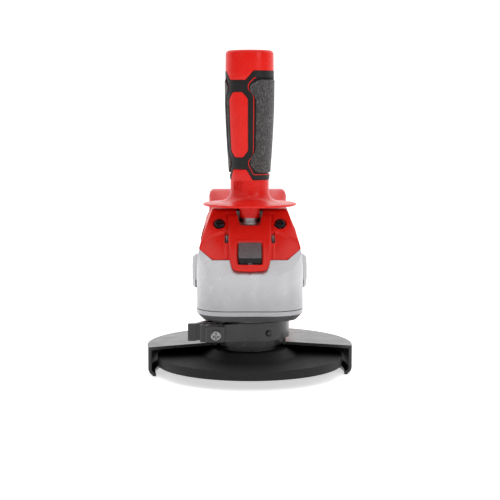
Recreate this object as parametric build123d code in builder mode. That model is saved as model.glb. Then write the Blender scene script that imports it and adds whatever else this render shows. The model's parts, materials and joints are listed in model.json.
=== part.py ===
from build123d import *
import os
from math import asin, cos, degrees, radians, sin, sqrt, tan

# A 125 mm angle grinder with its auxiliary handle screwed into the top of the gear head.
# The origin is the centre of the spanner holes on the clamp nut's outer face. +Z runs up the
# spindle towards the handle, +Y runs back along the motor, +X is to the right seen from the disc.
# All sizes are in millimetres.

GAP = 0.3  # between pieces that are not a fit
FIT = 0.05  # radial clearance of running fits and of press fits alike

# Grinding disc (depressed centre) and the stack that clamps it, up from the nut's outer face
DISC_R = 62.5
DISC_T = 6.0
DISC_BORE_R = 11.115
HUB_RAISE = 4.5
HUB_R = 24.0
NUT_R = 20.5
NUT_T = 4.0
SPANNER_PITCH_R = 15.0
SPANNER_HOLE_R = 2.5
HUB_TOP = NUT_T + DISC_T
RIM_TOP = HUB_TOP - HUB_RAISE
RIM_LOW = RIM_TOP - DISC_T
FLANGE_T = 5.0
FLANGE_TOP = HUB_TOP + FLANGE_T
THREAD_R = 7.0

# Guard: a sheet shell with an open front, riveted to a collar on the gear case neck
GUARD_R = 69.3
GUARD_T = 2.0
GUARD_TOP = 12.7  # at the rim; the plate rises a little towards the collar
GUARD_RISE = 1.2
GUARD_EDGE_R = 4.5
SKIRT_LOW = -4.0
LIP_LOW = -7.2
LIP_IN_R = 64.2
GUARD_TURN = 2.5  # the guard stands turned a little to the right
GUARD_FRONT = 15.1  # its cut edges run this many degrees forward of the sides
COLLAR_IN_R = 22.36
COLLAR_R = 24.4
COLLAR_TOP = 30.0
COLLAR_FRONT_LOW = 18.3  # in front the collar is no deeper than its band
BAND_R = 26.7
BAND_LOW = 18.7
BAND_TOP = 30.2
CLAMP_X = -22.2
CLAMP_Z = 23.7

# Gear case cover with the neck that carries the guard and the lower bearing
NECK_R = 22.3
NECK_LOW = 17.0
NECK_SKIRT_LOW = 13.8
NECK_SKIRT_IN_R = 20.9
COVER_LOW = 32.5
COVER_TOP = 39.5
COVER_BACK = 43.0
CASE_LOW = 40.0

# Gear head
HEAD_HALF = 35.7
HEAD_FRONT = -36.0
HEAD_BACK = 47.7
HEAD_CORNER_R = 21.0
HEAD_SIDE = [(HEAD_HALF, 66.0), (34.3, 77.5), (31.3, 88.0), (25.4, 103.8)]  # half width and height
ROOF_Z = 103.8
SLOPE_FOOT = (HEAD_FRONT, 63.6)
SLOPE_HEAD = (4.0, 102.4)
ROOF_EDGE_Y = 10.0
HOOD_T = 2.4
TONGUE_Z = 66.2
WING_Z = 72.9
SHOULDER_Z = 79.4
BAND_RISE = 1.3
SEAT_Z = 95.1
SEAT_R = 8.2

# Side handle threads
HANDLE_THREAD_R = 4.05
HANDLE_THREAD_L = 16.0
BOSS_X = 39.0
BOSS_Y = 17.0
BOSS_Z = 60.5
BOSS_HALF = 11.5

# Bevel gears: both pitch cones meet where the spindle crosses the motor axis
MOTOR_Z = 66.0
CROWN_TEETH = 35
PINION_TEETH = 11
CROWN_PITCH_R = 22.0
CROWN_R = 22.8
CROWN_IN_R = 15.0
LOCK_FLANGE_R = 28.2
LOCK_PITCH_R = 26.0
LOCK_NOTCHES = 8
CAVITY_R = 29.5
CAVITY_TOP = 64.5

# Lock button
BUTTON_HALF = 7.5
BUTTON_FRONT = -30.7
BUTTON_BACK = -18.0
BUTTON_LOW = 70.9  # it travels 5 mm down
LOCK_FLOOR = 65.7
LOCK_PIN_R = 2.5
LOCK_PIN_LOW = 53.6
LOCK_PIN_TOP = 75.2
SPRING_TOP = 74.2
SPRING_WELL_R = 3.8

# Motor, distances back along +Y
PINION_END = 13.5
PINION_BACK = 23.3
BEARING_Y = 31.5
BEARING_W = 9.0
BEARING_R = 15.0
PLATE_T = 2.5
FAN_Y = 53.0
FAN_W = 10.0
FAN_R = 31.0
CORE_Y = 78.0
CORE_L = 44.0
ROTOR_R = 18.5
STATOR_R = 31.0
STATOR_IN_R = 19.1
COMMUTATOR_Y = 138.0
COMMUTATOR_R = 11.0
BRUSH_Y = 145.0
REAR_BEARING_Y = 158.0
HOUSING_FRONT = 48.0
HOUSING_BACK = 152.0
HOUSING_HALF = 34.0
HOUSING_CORNER_R = 21.0

# Rear handle
TAIL_Y = 255.0
TAIL_HALF = 32.5
TAIL_LOW = 35.0
TAIL_TOP = 102.5
WAIST_Y = 200.0
WALL = 2.6
SWITCH_TRAVEL = 7.0
INLET_R = 3.6
INLET_L = 16.0

# Auxiliary handle, heights up from its seat
HANDLE_Y = 6.0
WASHER_T = 3.0
HANDLE_L = 115.2
HANDLE_FLANGE = 10.4
HANDLE_FLANGE_R = 31.6
HANDLE_NECK_R = 6.85
HANDLE_BASE_R = 13.3
HANDLE_END_R = 16.0
SLEEVE_FROM = HANDLE_L - 86.3
SLEEVE_TO = HANDLE_L - 14.1
SLEEVE_DEPTH = 1.4
PANEL_TURN = 31.5  # the first panel faces this many degrees to the left of the front
PANEL_FROM = HANDLE_L - 71.3
PANEL_TO = HANDLE_L - 28.0
PANEL_HALF = 7.1
PANEL_CUT = 4.2
BRIDGE_LOW = HANDLE_L - 79.1  # the red base and cap reach this near to the panels
BRIDGE_HIGH = HANDLE_L - 20.3
TONGUE_HALF = 5.9
TONGUE_ROOT = 10.0
GRIP_FROM = HANDLE_L - 81.8
GRIP_TO = HANDLE_L - 19.6
GRIP_TURN = 44  # half the angle a pad spans, in degrees, and the same at its lobes
GRIP_LOBE_TURN = 57
GRIP_RISE = 0.6

SPINDLE = Plane.XY
MOTOR = Plane(origin=(0, 0, MOTOR_Z), x_dir=(1, 0, 0), z_dir=(0, 1, 0))
MOTOR_SECTION = Plane.XY.offset(MOTOR_Z)
MOTOR_AXIS = Axis((0, 0, MOTOR_Z), (0, 1, 0))
PANEL_DIR = (-sin(radians(PANEL_TURN)), -cos(radians(PANEL_TURN)), 0)
HANDLE = Plane(origin=(0, HANDLE_Y, SEAT_Z), x_dir=PANEL_DIR, z_dir=(0, 0, 1))
HANDLE_SECTION = Plane(origin=HANDLE.origin, x_dir=PANEL_DIR, z_dir=-HANDLE.y_dir)
HANDLE_AXIS = Axis((0, HANDLE_Y, SEAT_Z), (0, 0, 1))
GUARD = Plane.XY.rotated((0, 0, GUARD_TURN))

os.makedirs("parts", exist_ok=True)


def write(piece, name):
    """Label a finished piece and write it to its own STEP file."""
    piece.part.label = name
    export_step(piece.part, f"parts/{name}.step")


def turned(section, axis, *points):
    """A solid of revolution from an outline of (radius, height) points in the section plane."""
    with BuildPart() as lathe:
        with BuildSketch(section):
            Polygon(*points, align=None)
        revolve(axis=axis)
    return lathe


def tube(plane, start, length, outer_r, inner_r=0.0):
    """A straight tube, or a bar where inner_r is 0, from start along the plane's normal."""
    with BuildPart() as pipe:
        with BuildSketch(plane.offset(start)):
            Circle(outer_r)
            if inner_r:
                Circle(inner_r, mode=Mode.SUBTRACT)
        extrude(amount=length)
    return pipe


def bearing(plane, start, width, outer_r, inner_r):
    """A ball bearing with its two races standing proud of the shields."""
    race = (outer_r - inner_r) * 0.24
    with BuildPart() as ball_bearing:
        add(tube(plane, start, width, outer_r, inner_r).part)
        for face, way in ((start, 1), (start + width, -1)):
            with BuildSketch(plane.offset(face)):
                Circle(outer_r - race)
                Circle(inner_r + race, mode=Mode.SUBTRACT)
            extrude(amount=way * 0.6, mode=Mode.SUBTRACT)
        chamfer(ball_bearing.edges().filter_by(GeomType.CIRCLE).group_by(SortBy.RADIUS)[-1], 0.4)
    return ball_bearing


def cross_recess(plane, size, depth):
    """The tapered cross slot of a screw head, sunk from the plane."""
    with BuildPart() as recess:
        with BuildSketch(plane):
            Rectangle(size, size * 0.28)
            Rectangle(size * 0.28, size)
        extrude(amount=-depth, taper=12)
    return recess


def screw(seat, head_r, head_h, shank_r, length):
    """A pan head cross screw: its head stands on the seat plane and its shank runs down from it."""
    with BuildPart() as pan_head:
        with BuildSketch(seat):
            Circle(head_r)
        extrude(amount=head_h)
        fillet(pan_head.edges().filter_by(GeomType.CIRCLE).sort_by_distance(seat.origin)[-1], head_h * 0.45)
        with BuildSketch(seat):
            Circle(shank_r)
        extrude(amount=-length)
        add(cross_recess(seat.offset(head_h), head_r * 1.25, head_h * 0.6).part, mode=Mode.SUBTRACT)
    return pan_head


def gathered(pieces):
    """Several separate solids kept together as one group."""
    with BuildPart() as group:
        for piece in pieces:
            add(piece.part)
    return group


# ---------------------------------------------------------------- disc, flanges and spindle


def make_disc():
    """Reinforced grinding disc with a raised hub and a square-cut rim."""
    slope = HUB_RAISE * 1.6
    return turned(
        Plane.XZ, Axis.Z,
        (DISC_BORE_R, NUT_T), (HUB_R - 2, NUT_T), (HUB_R - 2 + slope, RIM_LOW), (DISC_R, RIM_LOW),
        (DISC_R, RIM_TOP), (HUB_R + 1 + slope, RIM_TOP), (HUB_R + 1, HUB_TOP), (DISC_BORE_R, HUB_TOP),
    )


def make_clamp_nut():
    """Round nut with two spanner holes and a boss that centres the disc."""
    with BuildPart() as nut:
        add(tube(SPINDLE, 0, NUT_T, NUT_R, THREAD_R + FIT).part)
        chamfer(nut.edges().group_by(Axis.Z)[0].group_by(SortBy.RADIUS)[-1], 0.8)
        add(tube(SPINDLE, NUT_T, 2.6, DISC_BORE_R - FIT, THREAD_R + FIT).part)
        with BuildSketch(SPINDLE):
            with PolarLocations(SPANNER_PITCH_R, 2):
                Circle(SPANNER_HOLE_R)
        extrude(amount=NUT_T - 1, mode=Mode.SUBTRACT)
    return nut


def make_inner_flange():
    """Steel flange above the disc, relieved so that only its rim bears."""
    return turned(
        Plane.XZ, Axis.Z,
        (THREAD_R + FIT, HUB_TOP - 2.6), (DISC_BORE_R - FIT, HUB_TOP - 2.6), (DISC_BORE_R - FIT, HUB_TOP + 0.4),
        (NUT_R - 5, HUB_TOP + 0.4), (NUT_R - 5, HUB_TOP), (NUT_R - 0.6, HUB_TOP), (NUT_R, HUB_TOP + 0.6),
        (NUT_R, FLANGE_TOP - 1.6), (NUT_R - 1.2, FLANGE_TOP), (THREAD_R + FIT, FLANGE_TOP),
    )


SPINDLE_TOP = 76.5
CROWN_HUB_LOW = 44.0
CROWN_SEAT_R = 8.0


def make_spindle():
    """Stepped spindle: disc thread, bearing seat, collar, gear seat and upper journal."""
    with BuildPart() as shaft:
        add(turned(
            Plane.XZ, Axis.Z,
            (0, 1.2), (THREAD_R - 1, 1.2), (THREAD_R, 2.2), (THREAD_R, FLANGE_TOP),
            (7.45, FLANGE_TOP), (7.45, CROWN_HUB_LOW - 3), (10, CROWN_HUB_LOW - 3), (10, CROWN_HUB_LOW),
            (CROWN_SEAT_R, CROWN_HUB_LOW), (CROWN_SEAT_R, 57.3), (7.4, 57.3), (7.4, 58.7), (CROWN_SEAT_R, 58.7),
            (CROWN_SEAT_R, 60), (5, 61), (5, SPINDLE_TOP - 1), (4, SPINDLE_TOP), (0, SPINDLE_TOP),
        ).part)
    return shaft


# ---------------------------------------------------------------- bevel gears

PITCH_ANGLE = degrees(asin(PINION_TEETH / sqrt(PINION_TEETH**2 + CROWN_TEETH**2)))
CONE_L = CROWN_PITCH_R / cos(radians(PITCH_ANGLE))
MODULE = 2 * CROWN_PITCH_R / CROWN_TEETH
TIP_ANGLE = degrees(asin(0.85 * MODULE / CONE_L))
ROOT_ANGLE = degrees(asin(1.15 * MODULE / CONE_L))


def gear_outline(plane, teeth, depth, pitch_angle, phase):
    """The toothed outline of a bevel gear where a plane cuts it at a depth below the cones' apex."""
    root_r = depth * tan(radians(pitch_angle - ROOT_ANGLE))
    tip_r = depth * tan(radians(pitch_angle + TIP_ANGLE))
    step = 360 / teeth
    points = []
    for tooth in range(teeth):
        middle = phase + tooth * step
        for reach, share in ((root_r, -0.29), (tip_r, -0.08), (tip_r, 0.08), (root_r, 0.29)):
            turn = radians(middle + share * step)
            points.append((reach * cos(turn), reach * sin(turn)))
    with BuildSketch(plane) as outline:
        Polygon(*points, align=None)
    return outline.sketch


def toothed_cone(apex_plane, teeth, pitch_angle, near, far, phase):
    """A straight-toothed bevel cone between two depths below its apex plane."""
    outlines = [
        gear_outline(apex_plane.offset(depth), teeth, abs(depth), pitch_angle, phase)
        for depth in (near, far)
    ]
    with BuildPart() as cone:
        loft(outlines, ruled=True)
    return cone


def make_crown_gear():
    """Large bevel gear with a notched flange for the spindle lock."""
    apex = Plane.XY.offset(MOTOR_Z)
    root = tan(radians(90 - PITCH_ANGLE - ROOT_ANGLE))
    with BuildPart() as crown:
        add(toothed_cone(apex, CROWN_TEETH, 90 - PITCH_ANGLE, -4.4, -9.4, 90 + 180 / CROWN_TEETH).part)
        add(tube(SPINDLE, MOTOR_Z - 9.4, 6, CROWN_R).part, mode=Mode.INTERSECT)
        add(turned(
            Plane.XZ, Axis.Z,
            (CROWN_SEAT_R, CROWN_HUB_LOW), (14, CROWN_HUB_LOW), (14, 48), (LOCK_FLANGE_R, 48),
            (LOCK_FLANGE_R, 52), (CROWN_R, 52), (CROWN_R, MOTOR_Z - CROWN_R / root),
            (CROWN_IN_R, MOTOR_Z - CROWN_IN_R / root), (CROWN_SEAT_R, MOTOR_Z - CROWN_IN_R / root),
        ).part)
        add(tube(SPINDLE, 57, 20, CROWN_IN_R).part, mode=Mode.SUBTRACT)
        add(tube(SPINDLE, CROWN_HUB_LOW, 20, CROWN_SEAT_R + FIT / 2).part, mode=Mode.SUBTRACT)
        with BuildSketch(SPINDLE.offset(48)):
            with PolarLocations(LOCK_PITCH_R, LOCK_NOTCHES):
                Circle(LOCK_PIN_R + 0.5)
        extrude(amount=4, mode=Mode.SUBTRACT)
    return crown


def make_pinion():
    """Small bevel gear on the armature shaft, one tooth standing in the crown gear's gap."""
    with BuildPart() as small_gear:
        add(toothed_cone(MOTOR, PINION_TEETH, PITCH_ANGLE, PINION_END + 1, PINION_BACK, 90).part)
        add(tube(MOTOR, PINION_BACK, 4.2, 6.6).part)
        add(tube(MOTOR, PINION_END, 20, 4 + FIT / 2).part, mode=Mode.SUBTRACT)
    return small_gear


# ---------------------------------------------------------------- gear head


def head_block(inset):
    """The gear head's outer volume, drawn in by inset at the front, the sides and the roof."""
    low, back = COVER_LOW - 20, HEAD_BACK + 20
    with BuildPart() as block:
        with BuildSketch(Plane.XY.offset(low)) as plan:
            Polygon(
                (-HEAD_HALF, HEAD_FRONT), (HEAD_HALF, HEAD_FRONT), (HEAD_HALF, back), (-HEAD_HALF, back),
                align=None,
            )
            fillet(plan.vertices().group_by(Axis.Y)[0], HEAD_CORNER_R)
            offset(amount=-inset)
        extrude(amount=100)
        with BuildSketch(Plane.YZ) as side:
            Polygon(
                (HEAD_FRONT, low), SLOPE_FOOT, SLOPE_HEAD, (ROOF_EDGE_Y, ROOF_Z), (back, ROOF_Z), (back, low),
                align=None,
            )
            fillet(side.vertices().filter_by(lambda v: v.Y < back - 1 and v.Z > low + 1), 5)
            offset(amount=-inset)
        extrude(amount=HEAD_HALF + 5, both=True, mode=Mode.INTERSECT)
        with BuildSketch(Plane.XZ) as face:
            right = [(HEAD_HALF, low)] + HEAD_SIDE
            Polygon(*right, *[(-x, z) for x, z in reversed(right)], align=None)
            fillet(face.vertices().filter_by(lambda v: v.Z > low + 1), 4)
            offset(amount=-inset)
        extrude(amount=100, both=True, mode=Mode.INTERSECT)
    return block


def hood_edge(drop):
    """The region under the hood's lower edge seen from the front, lowered by drop."""
    wing, side, tongue = WING_Z - drop, SHOULDER_Z - drop, TONGUE_Z - drop
    right = [
        (0, tongue - 0.3), (8.5, tongue), (11.2, tongue + 1), (12.4, tongue + 3.4),
        (13.4, wing), (24.8, wing), (33.4, side), (50, side), (50, 0),
    ]
    with BuildSketch(Plane.XZ.offset(80)) as region:
        Polygon(*right, *[(-x, z) for x, z in reversed(right[1:])], align=None)
    return region.sketch


HOOD_SCREW_AXIS = (0, -cos(radians(20)), sin(radians(20)))
HOOD_SCREWS = [
    Plane(origin=(x, -1.6, 93.9), x_dir=(1, 0, 0), z_dir=HOOD_SCREW_AXIS) for x in (-20.4, 20.4)
]
HOOD_SLOTS = [(-15.5, -12.0), (15.5, -12.0)]


def hood_slots(low):
    """The two upright slots beside the hood's middle band, cut down to low."""
    with BuildPart() as slots:
        with BuildSketch(Plane.XY.offset(low)):
            with Locations(*HOOD_SLOTS):
                SlotOverall(7.8, 2.4, rotation=90)
        extrude(amount=40)
    return slots


def screw_recesses(seats, head_r, depth):
    """The open recesses over screw seats with the screws' holes below them."""
    with BuildPart() as recesses:
        for seat in seats:
            with BuildSketch(seat):
                Circle(head_r)
            extrude(amount=20)
            with BuildSketch(seat):
                Circle(2.0 + FIT)
            extrude(amount=-depth)
    return recesses


def make_head_cover():
    """The hood: a shell over the roof and slope of the head with a raised middle band."""
    with BuildPart() as hood:
        add(head_block(0).part)
        with BuildPart(mode=Mode.PRIVATE) as band:
            add(head_block(-BAND_RISE).part)
            with BuildSketch(Plane.XZ):
                Polygon((-12.4, 60), (12.4, 60), (14.2, 84), (14, 110), (-14, 110), (-14.2, 84), align=None)
            extrude(amount=-HEAD_FRONT + 5, mode=Mode.INTERSECT)
        add(band.part)
        add(head_block(HOOD_T).part, mode=Mode.SUBTRACT)
        extrude(hood_edge(0), amount=-200, mode=Mode.SUBTRACT)
        with BuildSketch(Plane.XZ.offset(-HEAD_BACK)):
            Rectangle(200, 400)
        extrude(amount=-60, mode=Mode.SUBTRACT)
        add(button_well(GAP).part, mode=Mode.SUBTRACT)
        with BuildSketch(Plane.XY.offset(80)) as window:
            Polygon((-6.6, -6.5), (6.6, -6.5), (8.9, 4.6), (8.9, 17), (-8.9, 17), (-8.9, 4.6), align=None)
            fillet(window.vertices(), 1.2)
        extrude(amount=40, mode=Mode.SUBTRACT)
        add(screw_recesses(HOOD_SCREWS, 4.1, 10).part, mode=Mode.SUBTRACT)
        add(hood_slots(70).part, mode=Mode.SUBTRACT)
    return hood


def button_well(clearance):
    """The upright well that the lock button moves in."""
    half, front, back = BUTTON_HALF + clearance, BUTTON_FRONT - clearance, BUTTON_BACK + clearance
    with BuildPart() as well:
        with BuildSketch(Plane.XY.offset(LOCK_FLOOR)) as mouth:
            Polygon((-half, front), (half, front), (half, back), (-half, back), align=None)
            fillet(mouth.vertices(), 1.5)
        extrude(amount=40)
    return well


UPPER_BUSH_R = 8.0
UPPER_BUSH_LOW = 66.5
CASE_SCREWS = [(-29.0, 45.5), (29.0, 45.5), (-20.5, 94.0), (20.5, 94.0)]
CASE_SCREW_SEAT_Y = 34.0
PLATE_SCREWS = [(18.6 * cos(radians(a)), 18.6 * sin(radians(a))) for a in (90, 210, 330)]
COVER_SCREWS = [(-24.0, -23.0), (24.0, -23.0), (-22.0, 37.0), (22.0, 37.0)]


def handle_boss(side):
    """One octagonal side boss for the auxiliary handle."""
    with BuildPart() as boss:
        with BuildSketch(Plane(origin=(side * 20, BOSS_Y, BOSS_Z), x_dir=(0, 1, 0), z_dir=(side, 0, 0))):
            RegularPolygon(BOSS_HALF, 8, major_radius=False, rotation=22.5)
        extrude(amount=BOSS_X - 20)
        chamfer(boss.faces().sort_by(Axis.X)[0 if side < 0 else -1].edges(), 2.0)
    return boss


def make_gear_case():
    """Cast gear case: gear cavity, bearing seats, handle bosses and screw pockets."""
    with BuildPart() as case:
        add(head_block(0.4).part)
        extrude(hood_edge(0.4), amount=-200, mode=Mode.INTERSECT)
        add(head_block(HOOD_T + 0.4).part)
        for side in (-1, 1):
            add(handle_boss(side).part)
        with BuildSketch(Plane.XY.offset(SEAT_Z)):
            Rectangle(22, 40)
        extrude(amount=20, mode=Mode.SUBTRACT)
        add(tube(HANDLE, -15, 15, SEAT_R).part)
        add(hood_slots(76).part, mode=Mode.SUBTRACT)
        for plane, way in ((Plane.XY.offset(CASE_LOW), -1), (Plane.XZ.offset(-HEAD_BACK), -1)):
            with BuildSketch(plane):
                Rectangle(400, 400)
            extrude(amount=way * 80, mode=Mode.SUBTRACT)
        add(tube(SPINDLE, CASE_LOW, CAVITY_TOP - CASE_LOW, CAVITY_R).part, mode=Mode.SUBTRACT)
        bush_bore = tube(SPINDLE, CAVITY_TOP - 1, UPPER_BUSH_LOW - CAVITY_TOP + 11.6, UPPER_BUSH_R + FIT / 2)
        add(bush_bore.part, mode=Mode.SUBTRACT)
        add(tube(MOTOR, 9, BEARING_Y - 9, 10).part, mode=Mode.SUBTRACT)
        add(tube(MOTOR, BEARING_Y, 30, BEARING_R + FIT / 2).part, mode=Mode.SUBTRACT)
        add(tube(MOTOR, BEARING_Y + BEARING_W, 30, 25).part, mode=Mode.SUBTRACT)
        add(button_well(GAP).part, mode=Mode.SUBTRACT)
        with BuildSketch(Plane.XY.offset(CAVITY_TOP - 1)):
            with Locations((0, -LOCK_PITCH_R)):
                Circle(LOCK_PIN_R + FIT)
        extrude(amount=5, mode=Mode.SUBTRACT)
        for side in (-1, 1):
            with BuildSketch(Plane.YZ.offset(side * (BOSS_X - HANDLE_THREAD_L))):
                with Locations((BOSS_Y, BOSS_Z)):
                    Circle(HANDLE_THREAD_R)
            extrude(amount=side * 20, mode=Mode.SUBTRACT)
        with BuildSketch(Plane.XY.offset(SEAT_Z - HANDLE_THREAD_L)):
            with Locations((0, HANDLE_Y)):
                Circle(HANDLE_THREAD_R)
        extrude(amount=30, mode=Mode.SUBTRACT)
        for x, z in CASE_SCREWS:
            with BuildSketch(Plane.XZ.offset(-CASE_SCREW_SEAT_Y + 24)):
                with Locations((x + 8 * (x / abs(x)) * (z < 60), z + 8 * (z > 60))):
                    Rectangle(8 + 16 * (z < 60), 8 + 16 * (z > 60))
            extrude(amount=-24, mode=Mode.SUBTRACT)
            with BuildSketch(Plane.XZ.offset(-CASE_SCREW_SEAT_Y)):
                with Locations((x, z)):
                    Circle(2 + FIT)
            extrude(amount=-30, mode=Mode.SUBTRACT)
        with BuildSketch(Plane.XZ.offset(-BEARING_Y - BEARING_W)):
            with Locations(*[(x, MOTOR_Z + z) for x, z in PLATE_SCREWS]):
                Circle(1.5 + FIT)
        extrude(amount=6, mode=Mode.SUBTRACT)
        with BuildSketch(Plane.XY.offset(CASE_LOW)):
            with Locations(*COVER_SCREWS):
                Circle(2 + FIT)
        extrude(amount=9, mode=Mode.SUBTRACT)
        add(screw_recesses(HOOD_SCREWS, 4.1, 11).part, mode=Mode.SUBTRACT)
    return case


def cover_plan(inset):
    """The plan of the gear case cover."""
    with BuildSketch(Plane.XY.offset(COVER_LOW)) as plan:
        Polygon(
            (-HEAD_HALF, HEAD_FRONT), (HEAD_HALF, HEAD_FRONT),
            (HEAD_HALF, COVER_BACK), (-HEAD_HALF, COVER_BACK),
            align=None,
        )
        fillet(plan.vertices().group_by(Axis.Y)[0], HEAD_CORNER_R)
        offset(amount=-inset)
    return plan.sketch


CIRCLIP_LOW = 30.2


def make_gear_case_cover():
    """Bottom cover with chamfered underside, screw pockets and the bearing neck."""
    with BuildPart() as cover:
        extrude(cover_plan(0.4), amount=COVER_TOP - COVER_LOW)
        chamfer(cover.edges().group_by(Axis.Z)[0].filter_by(lambda e: e.center().Y < COVER_BACK - 3), 4.2)
        add(tube(SPINDLE, NECK_LOW, COVER_LOW - NECK_LOW + 1, NECK_R).part)
        add(tube(SPINDLE, NECK_SKIRT_LOW, NECK_LOW - NECK_SKIRT_LOW + 1, NECK_R, NECK_SKIRT_IN_R).part)
        add(tube(SPINDLE, NECK_LOW - 1, 40, 10).part, mode=Mode.SUBTRACT)
        add(tube(SPINDLE, 19, 40, 17.5 + FIT / 2).part, mode=Mode.SUBTRACT)
        add(tube(SPINDLE, CIRCLIP_LOW, 1.4, 18.6).part, mode=Mode.SUBTRACT)
        add(tube(SPINDLE, 34, 20, 24).part, mode=Mode.SUBTRACT)
        with BuildSketch(Plane.XY.offset(COVER_LOW - 1)):
            with Locations(*COVER_SCREWS):
                Circle(4.3)
        extrude(amount=4.5, mode=Mode.SUBTRACT)
        with BuildSketch(Plane.XY.offset(COVER_LOW)):
            with Locations(*COVER_SCREWS):
                Circle(2 + FIT)
        extrude(amount=20, mode=Mode.SUBTRACT)
    return cover


def make_case_gasket():
    """Thin gasket between the case and its cover."""
    with BuildPart() as gasket:
        extrude(cover_plan(1.2), amount=CASE_LOW - COVER_LOW)
        with BuildSketch(Plane.XY.offset(COVER_LOW)):
            Rectangle(200, 200)
        extrude(amount=COVER_TOP - COVER_LOW, mode=Mode.SUBTRACT)
        with BuildSketch(Plane.XY.offset(COVER_LOW)):
            Circle(CAVITY_R)
            with Locations(*COVER_SCREWS):
                Circle(2.6)
        extrude(amount=20, mode=Mode.SUBTRACT)
    return gasket


def make_lock_button():
    """Lock button: upright sides and a sloping thumb face, hollow under for its spring."""
    with BuildPart() as button:
        add(button_well(0).part)
        with BuildSketch(Plane.YZ) as side:
            Polygon(
                (BUTTON_FRONT - 1, BUTTON_LOW), (BUTTON_FRONT - 1, 74.0), (BUTTON_FRONT + 0.4, 74.9),
                (BUTTON_BACK - 1.2, 83.4), (BUTTON_BACK + 1, 83.4), (BUTTON_BACK + 1, BUTTON_LOW),
                align=None,
            )
        extrude(amount=20, both=True, mode=Mode.INTERSECT)
        with BuildSketch(Plane.XY.offset(BUTTON_LOW - 1)):
            with Locations((0, -LOCK_PITCH_R)):
                Circle(SPRING_WELL_R)
        extrude(amount=SPRING_TOP - BUTTON_LOW + 1, mode=Mode.SUBTRACT)
        with BuildSketch(Plane.XY.offset(SPRING_TOP - 1)):
            with Locations((0, -LOCK_PITCH_R)):
                Circle(LOCK_PIN_R + FIT / 2)
        extrude(amount=LOCK_PIN_TOP - SPRING_TOP + 1, mode=Mode.SUBTRACT)
    return button


def coil_spring(x, y, low, high, coil_r, wire_r, turns):
    """An upright compression spring as a helix of round wire."""
    with BuildPart() as spring:
        with BuildLine(Plane((x, y, low + wire_r))) as path:
            Helix(pitch=(high - low - 2 * wire_r) / turns, height=high - low - 2 * wire_r, radius=coil_r)
        with BuildSketch(Plane(origin=path.line @ 0, z_dir=path.line % 0)):
            Circle(wire_r)
        sweep(is_frenet=True)
    return spring


# ---------------------------------------------------------------- guard


def make_guard_shell():
    """Pressed guard: collar, flat top, rounded edge, skirt and an inward lip, open at the front."""
    bend = GUARD_R - (SKIRT_LOW - LIP_LOW)
    inner_top = GUARD_TOP + GUARD_RISE
    with BuildPart() as shell:
        with BuildSketch(Plane.XZ) as section:
            Polygon(
                (COLLAR_R - GUARD_T, inner_top - GUARD_T), (GUARD_R - GUARD_T, GUARD_TOP - GUARD_T),
                (GUARD_R - GUARD_T, SKIRT_LOW + 0.6), (bend - 1.2, LIP_LOW + GUARD_T),
                (LIP_IN_R, LIP_LOW + GUARD_T), (LIP_IN_R, LIP_LOW), (bend, LIP_LOW),
                (GUARD_R, SKIRT_LOW), (GUARD_R, GUARD_TOP),
                (COLLAR_R - GUARD_T, inner_top),
                align=None,
            )
            for corner, radius in ((GUARD_R, GUARD_EDGE_R), (GUARD_R - GUARD_T, GUARD_EDGE_R - GUARD_T)):
                rim = section.vertices().filter_by(lambda v: abs(v.X - corner) < 0.1)
                fillet(rim.sort_by(Axis.Z)[-1], radius)
        revolve(axis=Axis.Z)
        add(tube(SPINDLE, inner_top - GUARD_T, COLLAR_TOP - inner_top + GUARD_T, COLLAR_R).part)
        front = radians(GUARD_FRONT)
        far = 2 * GUARD_R
        with BuildSketch(GUARD.offset(LIP_LOW - 5)):
            Polygon(
                (-COLLAR_R, 0), (-far * cos(front), -far * sin(front) + 7), (-far, -far), (far, -far),
                (far * cos(front), -far * sin(front) + 7), (COLLAR_R, 0),
                align=None,
            )
        extrude(amount=COLLAR_FRONT_LOW - LIP_LOW + 5, mode=Mode.SUBTRACT)
        add(tube(SPINDLE, LIP_LOW, 60, COLLAR_IN_R).part, mode=Mode.SUBTRACT)
    return shell


FRONT_EAR = [(-5, -26.2), (-15, -29.2), (-32, -29.2), (-32.8, -28.4), (-32, -27), (-16, -27), (-6, -23.9)]
REAR_EAR = [
    (-17, -20.2), (-17.6, -21.9), (-35.5, -21.9), (-35.5, -24.4),
    (-41, -24.4), (-41, -22.4), (-38, -19.8), (-17.2, -19.7),
]
EAR_BRACE = [(-36, -20.5), (-33.4, -20.5), (-25.2, -7.5), (-26.4, -4)]


def make_guard_band():
    """Clamp band round the collar with a front ear and a rear ear at the left."""
    with BuildPart() as band:
        with BuildSketch(Plane.XY.offset(BAND_LOW)):
            Circle(BAND_R)
            Polygon((0, 0), (-16.2, -18.8), (-40, -46), (-12, -46), (-8.5, -24), align=None, mode=Mode.SUBTRACT)
            Polygon(*FRONT_EAR, align=None)
            Polygon(*REAR_EAR, align=None)
            Polygon(*EAR_BRACE, align=None)
            Circle(COLLAR_R + FIT, mode=Mode.SUBTRACT)
        extrude(amount=BAND_TOP - BAND_LOW)
        with BuildSketch(Plane.XZ.offset(10)):
            with Locations((CLAMP_X, CLAMP_Z)):
                Circle(2.5 + FIT)
        extrude(amount=40, mode=Mode.SUBTRACT)
    return band


CLAMP_HALF = 6.2
CLAMP_FACE_Y = -34.2


def make_clamp_block():
    """Square block under the clamp screw's head."""
    with BuildPart() as block:
        with BuildSketch(Plane.XZ.offset(-CLAMP_FACE_Y)) as face:
            with Locations((CLAMP_X - 0.7, CLAMP_Z + 0.8)):
                Rectangle(2 * CLAMP_HALF, 2 * CLAMP_HALF - 0.8)
            fillet(face.vertices(), 1.2)
        extrude(amount=CLAMP_FACE_Y + 29.2)
        chamfer(block.faces().sort_by(Axis.Y)[0].edges(), 0.7)
        with BuildSketch(Plane.XZ.offset(10)):
            with Locations((CLAMP_X, CLAMP_Z)):
                Circle(2.5 + FIT)
        extrude(amount=40, mode=Mode.SUBTRACT)
    return block


# ---------------------------------------------------------------- motor


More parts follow.
